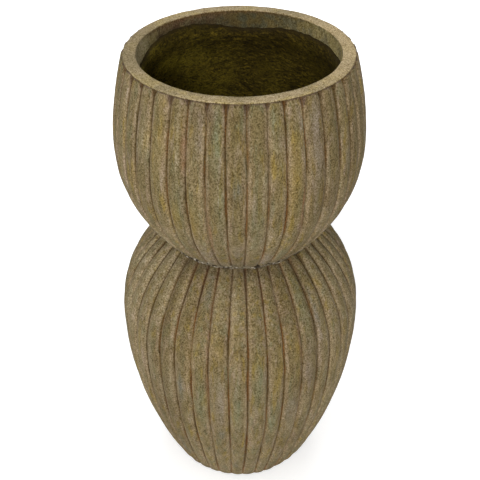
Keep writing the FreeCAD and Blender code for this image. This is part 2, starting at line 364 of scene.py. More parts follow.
def rib_columns(crest, grooves, widening):
    """The columns of every rib, for rows of given crest radius, groove angles and groove widths.

    Gives each column's angle, share of the groove's depth, place across the rib and groove's number.
    """
    angles, shares, across, owners = [], [], [], []
    flats = np.linspace(0, 1, FLAT_COLUMNS + 2)[1:-1]
    share = np.concatenate([GROOVE_SHAPE_SHARES, np.zeros(FLAT_COLUMNS), GROOVE_SHAPE_SHARES[:0:-1]])
    near = len(GROOVE_OFFSETS) + FLAT_COLUMNS // 2
    for k in range(RIBS):
        following = (k + 1) % RIBS
        start = grooves[:, k, None]
        stop = grooves[:, following, None] + (2 * math.pi if following == 0 else 0)
        gap = crest[:, None] * (stop - start)
        left = GROOVE_OFFSETS * widening[:, k, None]
        right = GROOVE_OFFSETS * widening[:, following, None]
        between = left[:, -1:] + (gap - left[:, -1:] - right[:, -1:]) * flats
        along = np.concatenate([left, between, gap - right[:, :0:-1]], axis=1)
        angles.append(start + along / crest[:, None])
        across.append(along / gap)
        shares.append(np.broadcast_to(share, along.shape))
        owners.append(np.where(np.arange(len(share)) < near, k, following))
    joined = [np.concatenate(columns, axis=1) for columns in (angles, shares, across)]
    return (*joined, np.concatenate(owners))


def by_groove(z, run, seed):
    """Smooth noise for each groove and row, which changes along the groove over the given run."""
    k = np.arange(RIBS) * 1.0
    places = np.stack(np.broadcast_arrays(k, z[:, None] / run, float(seed)), axis=-1)
    return field(places, 1.0, seed)


def groove_angles(z, seed, shifts, drift=0.0):
    """Where each groove runs: its place, with a hand-made wander, and a drift towards the foot."""
    places = FIRST_GROOVE + PITCH * np.arange(RIBS)
    seen = len(shifts) // 2
    places[np.arange(-seen, seen + 1)] += np.radians(shifts)
    wander = SLOW_WANDER * by_groove(z, 90 * MM, seed) + QUICK_WANDER * by_groove(z, 18 * MM, seed + 1)
    return places + wander - drift * fade(z, URN_BELLY[0])[:, None] ** 2


def patch_masks(points):
    """How strongly each kind of stain shows at each point, with ragged edges."""
    turn = turn_from_front(points)
    ragged = np.clip(0.85 + 0.6 * rough(points, np.array([7, 7, 24]) * MM, 301), 0.2, 1.25)
    masks = {}
    for kind, patches in PATCHES.items():
        shown = 0
        for middle, height, half_turn, half_height, strength in patches:
            up = (points[..., 2] - height * MM) / (half_height * MM)
            way = ((turn - middle) / half_turn) ** 2 + up**2
            shown = np.maximum(shown, min(1.4 * strength, 1) * np.exp(-0.7 * way**1.5))
        masks[kind] = shown * ragged
    return masks


def ribbed_rows(z, crest, seed, widening, depth_share, crown, grooves, topping=0.0, notch_width=None):
    """Points and masks of the ribbed outside, row by row. Topping rounds the ribs' tops, from 0 to 1."""
    width = np.clip(widening * (1 + 0.25 * by_groove(z, 30 * MM, seed + 3)), 0, WIDEST_GROOVE)
    angle, share, across, owner = rib_columns(crest, grooves, width)
    rounded = np.broadcast_to(topping, z.shape)[:, None]
    unevenness = (0.9 + 0.25 * by_groove(z, 60 * MM, seed + 20))[:, owner]
    depth = GROOVE_DEPTH * unevenness * depth_share[:, None] * (1 + 0.7 * rounded)
    crowning = crown * depth_share[:, None] + TOP_CROWN * rounded**2
    radius = crest[:, None] - share * depth - crowning * np.abs(2 * across - 1) ** CROWN_POWER
    height = np.broadcast_to(z[:, None], angle.shape)
    points = on_axis(radius, angle, height)
    bumps = 0.5 * rough(points, 42 * MM, seed + 30) + 0.35 * rough(points, 9 * MM, seed + 40) - 0.85
    points = on_axis(radius + bumps * BUMP_DEPTH, angle, height)
    rib = np.repeat(np.arange(RIBS), angle.shape[1] // RIBS)
    strength = np.clip(0.72 + 0.45 * by_groove(z, 45 * MM, seed + 7), 0, 1)[:, owner]
    masks = {
        **patch_masks(points),
        "groove": share ** (1 - 0.4 * rounded) * np.maximum(strength, rounded),
        # painted shade, growing towards the sides as seen from the front
        "wide_stain": np.interp(np.abs(turn_from_front(points)), PAINTED_SIDE_SHADE_TURNS, [0, 1]),
        "across": 2 * across - 1,
        "tone": np.broadcast_to(np.random.default_rng(seed).random(RIBS)[rib], across.shape),
    }
    # Dark notches at the grooves' tops, part stain and part painted shade in the recesses
    if notch_width is not None:
        aside = np.minimum(across, 1 - across) * PITCH * crest[:, None]
        masks["notch"] = np.clip((notch_width[:, owner] - aside) / NOTCH_SOFTNESS + 0.4, 0, 1)
    return points, masks


def plain_rows(radius, z, like, seed, bump):
    """Rows of plain turned surface at the columns of a ribbed row, with bumps of the given depth."""
    angle = np.broadcast_to(np.arctan2(like[:, 1], like[:, 0]), (len(z), len(like)))
    radius, height = (np.broadcast_to(values[:, None], angle.shape) for values in (radius, z))
    points = on_axis(radius, angle, height)
    return on_axis(radius + bump * rough(points, 14 * MM, seed), angle, height)


def stack_rows(parts):
    """Joins rows of points and fills each mask with zero where a part doesn't give it."""
    points = np.concatenate([p for p, _ in parts])
    names = sorted({name for _, masks in parts for name in masks})
    masks = {}
    for name in names:
        masks[name] = np.concatenate([m[name] if name in m else np.zeros(p.shape[:2]) for p, m in parts])
    return points, masks


def bowl_outside():
    """The bowl's ribs, from the waist to the lip."""
    ribs_bottom, ribs_top = BOWL_BOTTOM + 2.5 * MM, LIP_BOTTOM - 12 * MM
    ribs = spread_along(ribs_bottom, ribs_top, bowl_crest, BOWL_STEP)
    z = np.r_[BOWL_BOTTOM, BOWL_BOTTOM + 1 * MM, ribs, LIP_BOTTOM - ROWS_BELOW_LIP]
    below_lip = LIP_BOTTOM - z
    leaning = (bowl_crest(LIP_BOTTOM) - LIP_RADIUS - LEAN_GAP) * fade(below_lip, LEAN_HEIGHT) ** 2
    tucked = BOWL_TUCK * fade(z - BOWL_BOTTOM, BOWL_TUCK_HEIGHT)
    crest = bowl_crest(z) - leaning - tucked
    opened = fade(below_lip, OPENING_HEIGHT)
    chance = np.random.default_rng(5)
    widening = 1 + (0.7 + 0.6 * chance.random(RIBS)) * opened[:, None]
    notch_height = NOTCH_HEIGHTS[0] + np.ptp(NOTCH_HEIGHTS) * chance.random(RIBS)
    notch_width = NOTCH_WIDTHS[0] + np.ptp(NOTCH_WIDTHS) * chance.random(RIBS)
    notch_width = notch_width * (1 - below_lip[:, None] / notch_height)
    grooves = groove_angles(z, BOWL_SEED, BOWL_SHIFTS)
    share = np.full_like(z, BOWL_GROOVE_SHARE)
    points, masks = ribbed_rows(
        z, crest, BOWL_SEED, widening, share, BOWL_CROWN, grooves, topping=opened, notch_width=notch_width
    )
    points[:3, :, 2] += CRUMBLE * np.clip(rough(points[:3], 7 * MM, 71), 0, 1)
    # Painted shadow in a thin line right under the lip
    masks["notch"] = np.maximum(masks["notch"], fade(below_lip, LIP_ROUND)[:, None])
    masks["seam"] = by_row(fade(z - BOWL_BOTTOM, SEAM_HEIGHT), points)
    return points, masks


def bowl_lip(top):
    """The plain lip on the ribs' top row, from its outer edge over to the mouth."""
    turn = np.linspace(0, math.pi / 2, 5)
    flat_in, flat_out = MOUTH_RADIUS + MOUTH_ROUND, LIP_RADIUS - LIP_ROUND
    flat = np.linspace(flat_out, flat_in, 7)[1:-1]
    outer_round, outer_rise = LIP_ROUND * np.cos(turn), LIP_ROUND * (1 - np.sin(turn))
    inner_round, inner_fall = MOUTH_ROUND * np.sin(turn), MOUTH_ROUND * (1 - np.cos(turn))
    radius = np.r_[LIP_RADIUS - 0.4 * MM, flat_out + outer_round, flat, flat_in - inner_round]
    z = RIM[0] - np.r_[LIP_HEIGHT, outer_rise, np.zeros_like(flat), inner_fall]
    lip = plain_rows(radius, z, top, 51, bump=0.0)
    way = np.hypot(lip[..., 0], lip[..., 1])
    outer_share = np.clip((way - MOUTH_RADIUS) / (LIP_RADIUS - MOUTH_RADIUS), 0, 1)
    wave = 0.5 * rough(lip, 30 * MM, 53) + 0.5 * rough(lip, 9 * MM, 54) - 0.6
    lip[..., :2] *= (1 + LIP_WAVE * wave * outer_share / way)[..., None]
    lip[..., 2] -= LIP_DIP * (1 + rough(lip, 16 * MM, 52))
    inward = np.linspace(0, 1, len(z))
    mouth_side = by_row(np.interp(inward, [0.85, 1], [0, 1]), lip)
    outer_side = by_row(np.interp(inward, [0.13, 0.3, 0.42], [1, 0.7, 0]), lip)
    masks = {
        "lip": by_row(np.interp(inward, [0.05, 0.2], [0, 1]), lip),
        # painted shade on the lip's rolled outer edge
        "notch": by_row(np.interp(inward, [0, 0.14], [1, 0]), lip),
        "mouth_edge": mouth_side * round_mouth("mouth_edge", lip),
        "lip_rim": outer_side * round_mouth("lip_rim", lip),
        "lip_pale": round_mouth("lip_pale", lip),
        "lip_dull": round_mouth("lip_dull", lip),
    }
    return lip, masks


def bowl_band(top):
    """The bare band of stone between the lip and the lining's torn edge, and a little below that."""
    z = np.linspace(RIM[0] - MOUTH_ROUND - 1 * MM, LINING_TOP - 8.5 * MM, 16)
    band = plain_rows(np.full(len(z), MOUTH_RADIUS), z, top, 61, bump=0.5 * MM)
    below_rim = RIM[0] - z
    mouth_side = by_row(np.interp(below_rim, [3 * MM, 6 * MM], [1, 0]), band)
    masks = {
        "inside": np.ones(band.shape[:2]),
        "behind": np.clip(band[..., 1] / MOUTH_RADIUS, 0, 1) ** 1.5,
        "stained": round_mouth("stained", band),
        "sooty": by_row(np.interp(below_rim, [6 * MM, 13 * MM], [0, 1]), band),
        # a pale strip at the left, partly painted light
        "band_pale": round_mouth("band_pale", band),
        "mouth_edge": mouth_side * round_mouth("mouth_edge", band),
    }
    return band, masks


def bowl_hidden(top):
    """The bowl's faces behind the lining, down to its spigot and back out to the waist."""
    throat = RIM[0] - THROAT_DEPTH
    inside = spread_along(throat - 5 * MM, URN_NECK[0] + NECK_LAND, inner_radius, HIDDEN_STEP)
    z = np.r_[throat, inside, SPIGOT_BOTTOM]
    radius = np.r_[inner_radius(z), SPIGOT_RADIUS, SPIGOT_RADIUS]
    return plain_rows(radius, np.r_[z, SPIGOT_BOTTOM, BOWL_BOTTOM], top, 0, bump=0.0)


def build_bowl():
    """The upper bowl: ribbed outside, plain lip, bare band inside, and the hidden faces."""
    outside, masks = bowl_outside()
    top = outside[-1]
    parts = [(outside, masks), bowl_lip(top), bowl_band(top), (bowl_hidden(top), {})]
    piece = mesh_piece("ribbed_bowl", "urn", "ribbed_stone", *stack_rows(parts))
    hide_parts("upper_bowl_shell")
    return piece


def urn_outside():
    """The urn's ribs, from the worn foot to the waist."""
    ribs = spread_along(WEAR_HEIGHT, URN_TOP - 3 * MM, urn_crest, URN_STEP)
    z = np.r_[ROWS_ABOVE_FLOOR, ribs, URN_TOP - 1.2 * MM, URN_TOP]
    below_waist = URN_TOP - z
    worn = fade(z, WEAR_HEIGHT)
    crest = urn_crest(z) - WEAR * worn**2 - URN_TUCK * fade(below_waist, URN_TUCK_HEIGHT)
    share = np.interp(z, GROOVE_SHARE_HEIGHTS, URN_GROOVE_SHARES)
    grooves = groove_angles(z, URN_SEED, URN_SHIFTS, URN_DRIFT)
    opened = fade(below_waist, WAIST_OPENING)[:, None]
    widening = 1 + 0.7 * opened * np.random.default_rng(9).random(RIBS)
    points, masks = ribbed_rows(z, crest, URN_SEED, widening, share, URN_CROWN, grooves)
    turn = turn_from_front(points)
    chips = np.clip(rough(points, 13 * MM, 81) - 0.25, 0, 1) * worn[:, None]
    broken = np.exp(-(((turn - BREAK_TURN) / BREAK_HALF_TURN) ** 2)) * fade(z, BREAK_HEIGHT)[:, None]
    points[..., :2] *= (1 - (CHIP * chips + BREAK * broken) / crest[:, None])[..., None]
    # Painted shadow on the shoulder, strongest at the front
    shadow_share = np.interp(np.abs(turn), UNDER_BOWL_SHADOW_TURNS, UNDER_BOWL_SHADOW_SHARES)
    masks["grime"] = by_row(fade(below_waist, UNDER_BOWL_SHADOW_HEIGHT), points) * shadow_share
    masks["deep_stain"] = by_row(fade(below_waist, DEEP_STAIN_HEIGHT), points)
    # painted shade along the foot's lowest edge
    masks["foot"] = by_row(fade(z, FOOT_SHADE_HEIGHT), points)
    masks["worn"] = by_row(fade(z, RUBBED_HEIGHT), points)
    return points, masks


def urn_hidden(top):
    """The urn's rebate for the spigot, its faces behind the lining, the slab's ledge and the foot's hole."""
    inside = spread_along(URN_NECK[0] - NECK_LAND, LEDGE_HEIGHT + 0.5 * MM, inner_radius, HIDDEN_STEP)
    z = np.r_[inside, LEDGE_HEIGHT]
    rebate = [SPIGOT_RADIUS, SPIGOT_RADIUS, NECK_RADIUS]
    radius = np.r_[rebate, inner_radius(z), FOOT_OPENING_RADIUS, FOOT_OPENING_RADIUS]
    z = np.r_[URN_TOP, SPIGOT_BOTTOM, SPIGOT_BOTTOM, z, LEDGE_HEIGHT, 0]
    return plain_rows(radius, z, top, 0, bump=0.0)


def build_urn():
    """The lower urn: ribbed outside with a worn foot, and the hidden inside."""
    outside, masks = urn_outside()
    parts = [(outside, masks), (urn_hidden(outside[-1]), {})]
    piece = mesh_piece("ribbed_urn", "urn", "ribbed_stone", *stack_rows(parts))
    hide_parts("lower_urn_shell")
    return piece


def round_grid(z, columns):
    """Angles and heights of a grid of rows at the given heights, with even columns."""
    angles = np.broadcast_to(np.linspace(0, 2 * math.pi, columns, endpoint=False), (len(z), columns))
    return angles, np.broadcast_to(z[:, None], angles.shape)


def torn(points, angles, seed):
    """How far the lining's top edge stands over its even place."""
    tear = 1.4 * MM * rough(points, 26 * MM, seed + 3) + 1.6 * MM * rough(points, 6 * MM, seed + 4)
    return np.clip(tear + np.interp(np.degrees(angles), TORN_TURNS, TORN_RAISES), LOWEST_TEAR, HIGHEST_TEAR)


def lining_piece(name, node, low, high, seed, columns, ragged=False):
    """A hand-laid layer of fibre: lumpy inside, close to the stone outside."""
    z = spread_along(low, high, lambda h: inner_radius(h, LINING_THICKNESS), LINING_STEP)
    angles, heights = round_grid(z, columns)
    inner = np.broadcast_to(inner_radius(z, LINING_THICKNESS)[:, None], angles.shape)
    points = on_axis(inner, angles, heights)
    lumps = 0.8 * rough(points, np.array([26, 26, 14]) * MM, seed) + 0.5 * rough(points, 8 * MM, seed + 9)
    inner = inner + LINING_LUMP * lumps
    if ragged:
        edge = fade(high - heights, TEAR_HEIGHT)
        heights = heights + torn(points, angles, seed) * edge
        inner = inner + 1.0 * MM * edge**6
    outer = np.broadcast_to(inner_radius(z)[:, None], angles.shape) + 0.2 * MM
    grid = np.concatenate([on_axis(outer, angles, heights), on_axis(inner, angles, heights)[::-1]])
    edge = fade(high - z, 5 * MM) * ragged
    # Painted light: the lining is made lighter deeper down and most at the left, where the lamps leave it in
    # shade
    deep = 1 - fade(high - grid[..., 2], PAINTED_LIGHT_DEPTH)
    painted_light = np.interp(turn_from_right(grid), PAINTED_LIGHT_TURNS, PAINTED_LIGHT_SHARES) * np.clip(0.35 + 2.6 * deep, 0, 1)
    masks = {"edge": by_row(np.concatenate([edge, edge[::-1]]), grid), "painted_light": painted_light + 0.08 * deep}
    piece = mesh_piece(name, "urn", "fibre_lining", grid, masks)
    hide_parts(node)
    return piece


def build_strap():
    """The lapped band over the joint inside."""
    low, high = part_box("waist_lap_strap")[0].z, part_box("waist_lap_strap")[1].z
    z = spread_along(low, high, lambda h: inner_radius(h, LINING_THICKNESS + STRAP_THICKNESS), 4 * MM)
    angles, heights = round_grid(z, 300)
    points = on_axis(np.full(angles.shape, NECK_RADIUS), angles, heights)
    thickness = STRAP_THICKNESS * (0.85 + 0.25 * rough(points, 15 * MM, 131))
    end = np.minimum(heights - low, high - heights)
    thickness = thickness * np.clip(end / (4 * MM), 0.25, 1)
    inner = inner_radius(heights, LINING_THICKNESS) - thickness
    outer = inner_radius(heights, LINING_THICKNESS - 0.8 * MM)
    grid = np.concatenate([on_axis(outer, angles, heights), on_axis(inner, angles, heights)[::-1]])
    piece = mesh_piece("lap_strap", "urn", "fibre_lining", grid)
    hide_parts("waist_lap_strap")
    return piece


def build_mortar():
    """The bed of mortar at the waist: a crumbly bead all round."""
    columns = 1200
    angle = np.linspace(0, 2 * math.pi, columns, endpoint=False)
    middle = (URN_TOP + BOWL_BOTTOM) / 2
    core = 101 * MM
    base = on_axis(np.full(columns, core), angle, np.full(columns, middle))
    swellings = np.clip(0.55 + 0.6 * rough(base, 11 * MM, 151), 0, 1)
    sag = 0.9 * MM * rough(base, 12 * MM, 153) - 0.6 * MM
    rows = []
    for turn in np.linspace(-math.pi / 2, math.pi / 2, 11):
        crumbs = 0.9 * rough(base + [0, 0, 3 * MM * turn], 3.2 * MM, 154)
        reach = (4.6 + 4.6 * swellings + crumbs) * MM * math.cos(turn) ** 0.6
        height = (2.0 + 0.9 * swellings) * MM * math.sin(turn) + sag
        rows.append(on_axis(core + reach, angle, middle + height))
    for z in (BOWL_BOTTOM, URN_TOP):
        rows.append(on_axis(np.full(columns, SPIGOT_RADIUS), angle, np.full(columns, z)))
    piece = mesh_piece("mortar_bead", "urn", "mortar", np.stack(rows))
    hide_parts("waist_mortar_bed")
    return piece


# Colours as seen on a screen, 0 to 255: the stains' first, then the stone's and the other materials'. Some
# stand for painted light or shade, as marked
TINTS = {
    "green": (112, 115, 86),
    "lilac": (138, 124, 108),
    "ochre": (138, 115, 54),
    # brown stain, and painted shade at the urn's left
    "brown": (92, 75, 46),
    # pale stain, and painted light on the urn's shoulders
    "pale": (162, 147, 114),
    "slate": (100, 101, 92),
    "rust": (122, 80, 42),
    "sand": (140, 122, 87),
    "olive_sand": (122, 106, 69),
    "green_streak": (112, 111, 82),
    "pink_streak": (150, 131, 110),
    "ochre_streak": (138, 116, 48),
    "umber_streak": (100, 84, 52),
    "darker_rib": (222, 219, 210),
    "lighter_rib": (255, 255, 255),
    "rib_middle": (110, 98, 62),
    "rib_edge": (154, 134, 104),
    # the lip's colours are lighter than the ribs' partly as painted light from above
    "lip": (168, 150, 114),
    "lip_shade": (146, 131, 96),
    "lip_sunned": (174, 154, 98),
    "lip_pale": (190, 168, 126),
    "lip_dull": (138, 122, 88),
    "lip_rim": (112, 102, 84),
    "band_side": (164, 148, 96),
    "band_side_shade": (134, 122, 84),
    "band_back": (80, 67, 33),
    "band_back_shade": (72, 68, 46),
    # pale strip, partly painted light
    "band_pale": (200, 184, 138),
    "band_stain": (104, 80, 56),
    "band_soot": (66, 50, 26),
    "mouth_edge": (96, 68, 30),
    "mortar_smear": (128, 120, 102),
    "mortar_spot": (90, 84, 72),
    # painted shadow under the bowl
    "grime": (72, 60, 42),
    # dark notches: part stain, part painted shade
    "notch": (84, 64, 54),
    "groove": (82, 60, 18),
    "groove_rust": (108, 68, 22),
    "groove_deep": (70, 46, 24),
    # painted shade at the sides
    "groove_painted_shade": (72, 57, 26),
    "groove_halo": (128, 96, 54),
    # painted shade at the foot
    "foot_shade": (72, 66, 54),
    "foot_fleck": (178, 168, 146),
    "fibre": (50, 40, 5),
    # painted light: the lining's lit colour
    "fibre_painted_light": (196, 176, 58),
    "fibre_blot": (38, 29, 4),
    "fibre_strand": (108, 90, 28),
    "fibre_pit": (22, 15, 2),
    "fibre_edge": (34, 25, 4),
    "mortar": (112, 102, 82),
    "mortar_dirt": (50, 41, 27),
    "mortar_fleck": (180, 170, 152),
    "slab": (120, 110, 84),
    "slab_wet": (84, 76, 54),
    "rubber": (34, 33, 32),
    "rubber_dust": (66, 63, 58),
}

# Streaks up and down the stone: tint, width, shift of the noise, where in it they begin and end, strength
STREAKS = [
    ("green_streak", 8 * MM, (3, 1, 2), 0.5, 0.62, 0.6),
    ("pink_streak", 7 * MM, (1, 9, 4), 0.52, 0.64, 0.65),
    ("ochre_streak", 9 * MM, (7, 5, 1), 0.53, 0.64, 0.75),
    ("umber_streak", 6 * MM, (5, 2, 6), 0.53, 0.64, 0.6),
]


def tint(name):
    """A tint in the linear values that a shader takes."""
    shares = np.array(TINTS[name]) / 255
    linear = np.where(shares <= 0.04045, shares / 12.92, ((shares + 0.055) / 1.055) ** 2.4)
    return (*linear, 1.0)


class Nodes:
    """Builds the nodes of a material or world. A value is a number, a colour or another node's output."""

    def __init__(self, owner):
        owner.use_nodes = True
        self.tree = owner.node_tree
        self.tree.nodes.clear()

    def add(self, kind, values, **settings):
        """A shader node of a kind, with its settings, and a value for each input by name or number."""
        node = self.tree.nodes.new("ShaderNode" + kind)
        for key, setting in settings.items():
            setattr(node, key, setting)
        for key, value in values.items():
            if isinstance(value, bpy.types.NodeSocket):
                self.tree.links.new(value, node.inputs[key])
            else:
                node.inputs[key].default_value = value
        return node

    def math(self, operation, a, b=0.0):
        return self.add("Math", {0: a, 1: b}, operation=operation).outputs[0]

    def times(self, a, b):
        return self.math("MULTIPLY", a, b)

    def seen_directly(self):
        """1 for what the camera sees, also in a reflection or through glass, and 0 for other light."""
        path = self.add("LightPath", {})
        seen = self.math("MAXIMUM", path.outputs["Is Camera Ray"], path.outputs["Is Glossy Ray"])
        return self.math("MAXIMUM", seen, path.outputs["Is Transmission Ray"])


class Look(Nodes):
    """Builds one material's nodes."""

    def __init__(self, name):
        self.material = bpy.data.materials.new(name)
        super().__init__(self.material)
        self.place = self.add("TexCoord", {}).outputs["Object"]

    def mask(self, name):
        return self.add("Attribute", {}, attribute_name=name).outputs["Fac"]

    def between(self, value, low, high, start=0.0, stop=1.0):
        """Start where value is at low, stop where it is at high, smooth between."""
        values = {"Value": value, "From Min": low, "From Max": high, "To Min": start, "To Max": stop}
        return self.add("MapRange", values, interpolation_type="SMOOTHSTEP").outputs["Result"]

    def noise(self, size, detail=3, roughness=0.55, stretch=(1, 1, 1), shift=(0, 0, 0), turn=0, twist=0):
        """Noise with lumps of about the given size, longer along an axis whose stretch is small."""
        turned = self.add("Mapping", {"Vector": self.place, "Rotation": (0, turn, 0)})
        vector = self.add("Mapping", {"Vector": turned.outputs[0], "Scale": stretch, "Location": shift})
        values = {"Vector": vector.outputs[0], "Scale": 1 / size, "Detail": detail}
        return self.add("TexNoise", {**values, "Roughness": roughness, "Distortion": twist}).outputs["Fac"]

    def grains(self, size):
        """A random number for each grain of sand."""
        cells = self.add("TexVoronoi", {"Vector": self.place, "Scale": 1 / size})
        return self.add("SeparateColor", {0: cells.outputs["Color"]}).outputs[0]

    def mix(self, a, b, amount, blend="MIX"):
        values = {"Factor": amount, "A": a, "B": b}
        return self.add("Mix", values, data_type="RGBA", blend_type=blend).outputs["Result"]

    def paint(self, colour, name, amount):
        """The colour with a tint over it."""
        return self.mix(colour, tint(name), amount)

    def stain(self, colour, name, amount):
        """The colour with a tint over it where the mask of the same name shows."""
        return self.paint(colour, name, self.times(self.mask(name), amount))

    def shaded(self, colour, lightness, powers=(1, 1, 1)):
        """The colour made lighter or darker, in red, green and blue by a power of the lightness."""
        values = {place: self.math("POWER", lightness, power) for place, power in enumerate(powers)}
        return self.mix(colour, self.add("CombineColor", values).outputs[0], 1.0, "MULTIPLY")

    def bump(self, height, depth, under=None):
        """Bumps of the given depth, on top of other bumps if they are given."""
        values = {"Height": height, "Distance": depth}
        if under is not None:
            values["Normal"] = under
        return self.add("Bump", values).outputs["Normal"]

    def finish(self, colour, roughness, normal, specular=0.25):
        values = {"Base Color": colour, "Roughness": roughness, "Normal": normal}
        shader = self.add("BsdfPrincipled", {**values, "Specular IOR Level": specular})
        self.add("OutputMaterial", {"Surface": shader.outputs[0]})
        return self.material


def sandy_ground(look):
    """Sand with blotches and streaks, a little lighter or darker from rib to rib."""
    blotches = look.between(look.noise(40 * MM, 4, 0.65, (1, 1, 0.5)), 0.36, 0.66)
    colour = look.mix(tint("sand"), tint("olive_sand"), blotches)
    for name, width, shift, low, high, strength in STREAKS:
        streaks = look.between(look.noise(width, 4, 0.6, (1, 1, 0.13), shift), low, high)
        colour = look.paint(colour, name, look.times(streaks, strength))
    tone = look.mix(tint("darker_rib"), tint("lighter_rib"), look.mask("tone"))
    return look.mix(colour, tone, 0.9, "MULTIPLY")


def rib_stains(look, colour):
    """The listed stains, with painted light among the pale ones and painted shade among the brown, then the
    ribs' darker middles and worn edges.
    """
    breaks = look.between(look.noise(6 * MM, 4, 0.65, (1, 1, 0.4), (2, 7, 7)), 0.3, 0.58, 0.35, 1.0)
    for kind in PATCHES:
        colour = look.stain(colour, kind, breaks)
    side = look.math("ABSOLUTE", look.mask("across"))
    middle = look.between(side, 0.15, 0.6, 0.45, 0.0)
    blotches = look.between(look.noise(20 * MM, 3), 0.35, 0.6, 0.3, 1.0)
    colour = look.paint(colour, "rib_middle", look.times(middle, blotches))
    breaks = look.between(look.noise(9 * MM, 3, 0.6, (1, 1, 0.35), (4, 4, 4)), 0.34, 0.6, 0.2, 1.0)
    worn_edge = look.times(look.between(side, 0.5, 0.8), breaks)
    return look.paint(colour, "rib_edge", look.times(worn_edge, 0.5))


def lip_colours(look, colour):
    """The bare lip: pale at the right, dull at the left, and dusty along its outer edge."""
    blotches = look.between(look.noise(35 * MM, 3, 0.6, shift=(8, 1, 3)), 0.42, 0.62)
    sunned = look.between(look.noise(22 * MM, 3, 0.6, shift=(5, 5, 2)), 0.45, 0.62, 0.0, 0.6)
    # The lip's colours are lighter than the ribs', partly as painted light from above
    lip = look.paint(look.mix(tint("lip"), tint("lip_shade"), blotches), "lip_sunned", sunned)
    colour = look.mix(colour, lip, look.mask("lip"))
    for name, strength in (("lip_pale", 0.75), ("lip_dull", 0.7)):
        colour = look.stain(colour, name, look.times(look.mask("lip"), strength))
    breaks = look.between(look.noise(20 * MM, 4, 0.65, shift=(1, 4, 9)), 0.36, 0.56, 0.2, 0.75)
    return look.stain(colour, "lip_rim", breaks)


def band_colours(look, colour):
    """The bare band inside: pale at the sides, dark behind, stained and sooty at the back's left."""
    mottle = look.between(look.noise(14 * MM, 4, 0.65, shift=(2, 8, 5)), 0.42, 0.58)
    sides = look.mix(tint("band_side"), tint("band_side_shade"), mottle)
    back = look.mix(tint("band_back"), tint("band_back_shade"), mottle)
    # The pale strip at the band's left is partly painted light, where the lamps leave that side in shade
    band = look.paint(look.mix(sides, back, look.mask("behind")), "band_pale", look.mask("band_pale"))
    breaks = look.between(look.noise(16 * MM, 4, 0.65, shift=(7, 7, 3)), 0.36, 0.6, 0.35, 1.0)
    stain = look.mix(tint("band_stain"), tint("band_soot"), look.mask("sooty"))
    band = look.mix(band, stain, look.times(look.mask("stained"), breaks))
    colour = look.mix(colour, band, look.mask("inside"))
    return look.stain(colour, "mouth_edge", 0.65)


def joint_colours(look, colour):
    """Mortar smeared on the bowl's lower edge, painted shadow on the urn's shoulder under the bowl, and dark
    notches under the lip, partly stain and partly painted shade.
    """
    smears = look.between(look.noise(14 * MM, 3, 0.6, shift=(6, 2, 3)), 0.36, 0.6)
    colour = look.paint(colour, "mortar_smear", look.times(look.times(look.mask("seam"), smears), 0.6))
    spots = look.between(look.noise(5 * MM, 4, 0.7, (1, 1, 1.4), (9, 2, 4)), 0.5, 0.64, 0.0, 0.75)
    colour = look.paint(colour, "mortar_spot", look.times(spots, look.between(look.mask("seam"), 0.1, 0.8)))
    # Painted shadow on the urn's shoulder under the bowl, broken up by noise
    breaks = look.between(look.noise(12 * MM, 3, 0.6, shift=(3, 6, 1)), 0.35, 0.6, 0.3, 0.9)
    colour = look.stain(colour, "grime", breaks)
    # Dark notches under the lip: part stain, part painted shade
    return look.stain(colour, "notch", 0.8)


def groove_stains(look, colour):
    """Brown stain in the grooves: rusty in places and darker under the waist, with painted shade that widens
    and darkens it at the sides.
    """
    groove, aside = look.mask("groove"), look.mask("wide_stain")
    rusty = look.between(look.noise(30 * MM, 3, 0.6, (1, 1, 0.5), (8, 3, 9)), 0.44, 0.62)
    halo = look.between(groove, 0.03, 0.4, 0.0, 0.4)
    colour = look.paint(colour, "groove_halo", look.times(halo, rusty))
    stain = look.mix(tint("groove"), tint("groove_rust"), rusty)
    stain = look.paint(stain, "groove_deep", look.between(look.mask("deep_stain"), 0.05, 0.6, 0.0, 0.85))
    # Painted shade: the groove marks darker and wider towards the sides
    stain = look.paint(stain, "groove_painted_shade", look.times(aside, 0.7))
    narrow = look.between(groove, 0.15, 0.7, 0.0, 0.85)
    wide = look.times(look.between(groove, 0.01, 0.4, 0.0, 0.85), aside)
    worn = look.between(look.mask("worn"), 0.2, 1.0, 1.0, 0.65)
    return look.mix(colour, stain, look.times(look.math("MAXIMUM", narrow, wide), worn))


def foot_colours(look, colour):
    """Painted shade along the edge that the urn stands on, with pale flecks."""
    flecks = look.between(look.noise(5 * MM, 3, 0.7, (1, 1, 2), (4, 1, 2)), 0.54, 0.64)
    # Painted shade near the floor, with pale flecks
    foot = look.mix(tint("foot_shade"), tint("foot_fleck"), flecks)
    return look.mix(colour, foot, look.between(look.mask("foot"), 0.15, 0.6, 0.0, 0.8))


def stone_material():
    """Cast stone mix: sandy tan, streaked grey-green, pink and ochre, with brown stain in the grooves."""
    look = Look("ribbed_stone")
    colour = sandy_ground(look)
    for layer in (rib_stains, lip_colours, band_colours, joint_colours, groove_stains, foot_colours):
        colour = layer(look, colour)
    grain = look.grains(1.6 * MM)
    speck = look.noise(1.5 * MM, 3, 0.7, (1, 1, 0.65))
    strokes = look.noise(3.5 * MM, 4, 0.65, (1, 1, 0.16), (5, 1, 8))
    lightness = look.between(speck, 0.3, 0.7, 0.47, 1.49)
    lightness = look.math("ADD", lightness, look.between(grain, 0, 1, -0.2, 0.2))
    lightness = look.math("ADD", lightness, look.between(strokes, 0.34, 0.66, -0.16, 0.15))
    colour = look.shaded(colour, lightness, (0.9, 1.0, 1.4))
    coarse = look.bump(look.noise(9 * MM, 3, 0.6), 1.2 * MM)
    fine = look.bump(speck, 1.4 * MM, under=coarse)
    normal = look.bump(grain, 0.4 * MM, under=fine)
    return look.finish(colour, look.between(look.noise(10 * MM, 2), 0.3, 0.7, 0.82, 0.96), normal)


